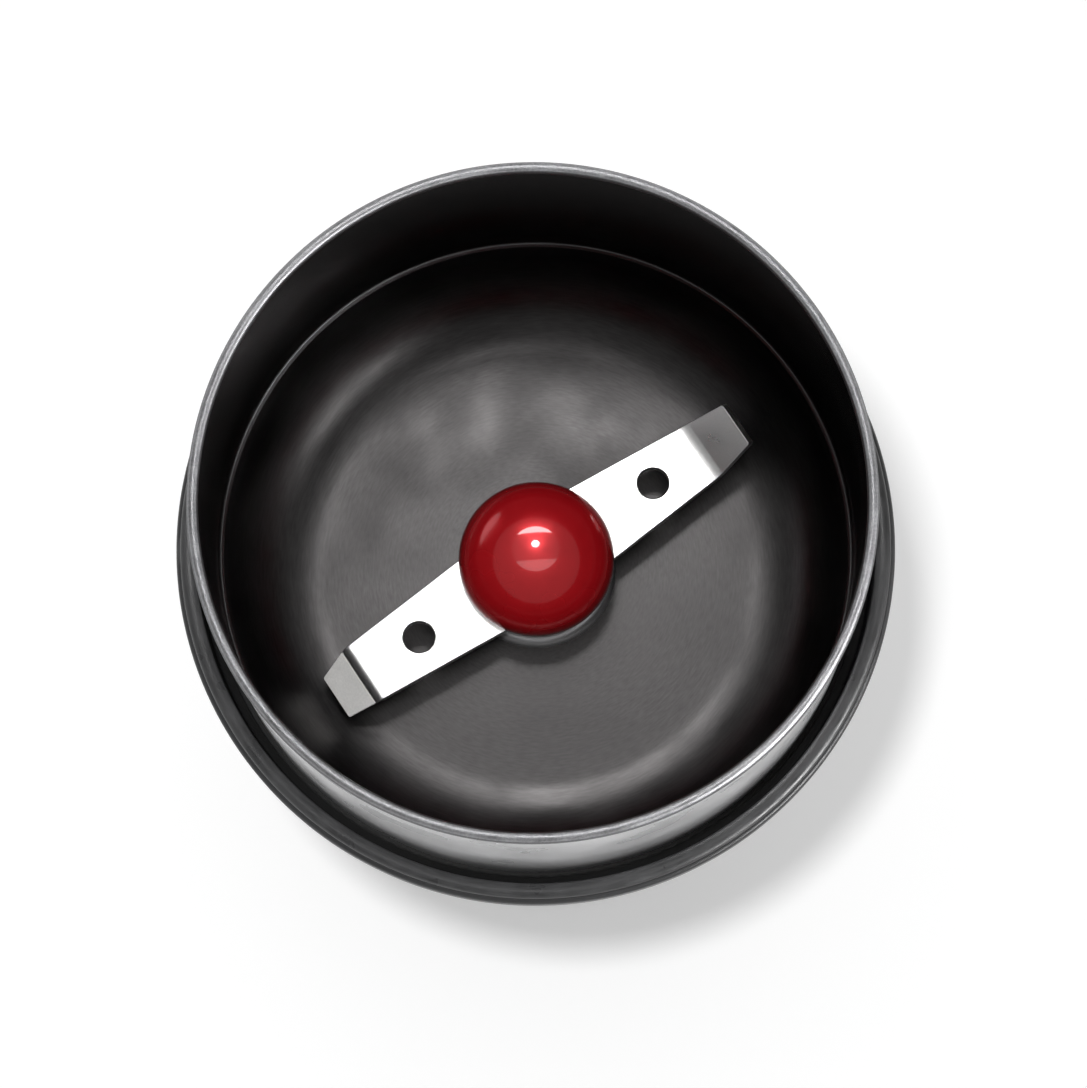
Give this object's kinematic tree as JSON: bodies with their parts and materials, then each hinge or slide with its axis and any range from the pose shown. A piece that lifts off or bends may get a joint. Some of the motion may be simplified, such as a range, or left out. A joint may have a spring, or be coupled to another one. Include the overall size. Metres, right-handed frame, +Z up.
{
  "type": "electric spice grinder",
  "caption": "Electric spice grinder: open polished steel bowl with a spinning blade under a red domed cap, on a tapered black motor housing with a sprung power button.",
  "frame": {"origin": "centre of the feet's plane, on the motor shaft's axis", "axes": "+Z up along the motor shaft, -Y towards the power button, +Y towards the cord's inlet, +X along the blade's falling arm at rest"},
  "size_m": [0.0918, 0.0918, 0.15],
  "materials": {
    "black_housing": "fine satin, moulded",
    "satin_ring": "satin with fine turning marks",
    "black_base": "matt, moulded",
    "black_rubber": "matt",
    "polished_steel": "polished, satin on the rolled rim",
    "turned_steel": "turned",
    "blade_steel": "fine ground",
    "zinc_steel": "zinc plated",
    "spring_steel": "drawn wire",
    "bezel_metal": "turned and polished",
    "laminations": "stamped sheets",
    "copper": "enamelled wire",
    "bronze": "sintered",
    "brass_sheet": "stamped",
    "carbon": "matt carbon",
    "nylon": "natural nylon",
    "fibre": "pressed fibre",
    "switch_case": "moulded",
    "capacitor_case": "moulded case",
    "cutout_case": "ceramic-like",
    "wire_cover": "soft insulation",
    "button_black": "gloss moulded",
    "red_gloss": "high gloss"
  },
  "bodies": {
    "base_unit": {"housing": "black_housing", "shoulder_shell": "black_housing", "collar_ring": "satin_ring", "bowl_gasket": "black_rubber", "grinding_bowl": "polished_steel", "bowl_hub": "turned_steel", "hub_nut": "zinc_steel", "shaft_seal": "black_rubber", "bulkhead": "nylon", "bulkhead_screws": "zinc_steel", "motor_mounts": "black_rubber", "mount_screws": "zinc_steel", "upper_motor_bracket": "zinc_steel", "lower_motor_bracket": "zinc_steel", "tie_screws": "zinc_steel", "stator_core": "laminations", "field_coils": "copper", "upper_bearing": "bronze", "lower_bearing": "bronze", "brush_carrier": "nylon", "brush_holders": "brass_sheet", "carbon_brushes": "carbon", "brush_springs": "spring_steel", "motor_foot_ring": "black_rubber", "base_plate": "black_base", "base_screws": "zinc_steel", "rubber_feet": "black_rubber", "cord_inlet": "black_rubber", "cord_clamp": "nylon", "clamp_screws": "zinc_steel", "terminal_block": "nylon", "capacitor": "capacitor_case", "thermal_cutout": "cutout_case", "switch_body": "switch_case", "switch_screws": "zinc_steel", "switch_terminals": "brass_sheet", "button_bezel": "bezel_metal", "button_spring": "spring_steel", "lead_wires": "wire_cover"},
    "rotor": {"motor_shaft": "turned_steel", "thrust_washers": "fibre", "commutator": "copper", "armature_core": "laminations", "armature_windings": "copper", "cooling_fan": "nylon", "blade_spacer": "turned_steel", "blade": "blade_steel", "cap_nut": "brass_sheet", "blade_cap": "red_gloss"},
    "button": {"power_button": "button_black", "switch_plunger": "nylon"}
  },
  "joints": [
    {"name": "blade_spin", "type": "hinge", "parent": "base_unit", "child": "rotor", "pos_m": [0, 0, 0.06], "axis": [0, 0, 1], "continuous": true},
    {"name": "button_press", "type": "slide", "parent": "base_unit", "child": "button", "axis": [0, 1, 0], "range_m": [0, 0.002], "stiffness_N_per_m": 600, "springref_m": -0.0015, "deforming": ["button_spring"]}
  ]
}
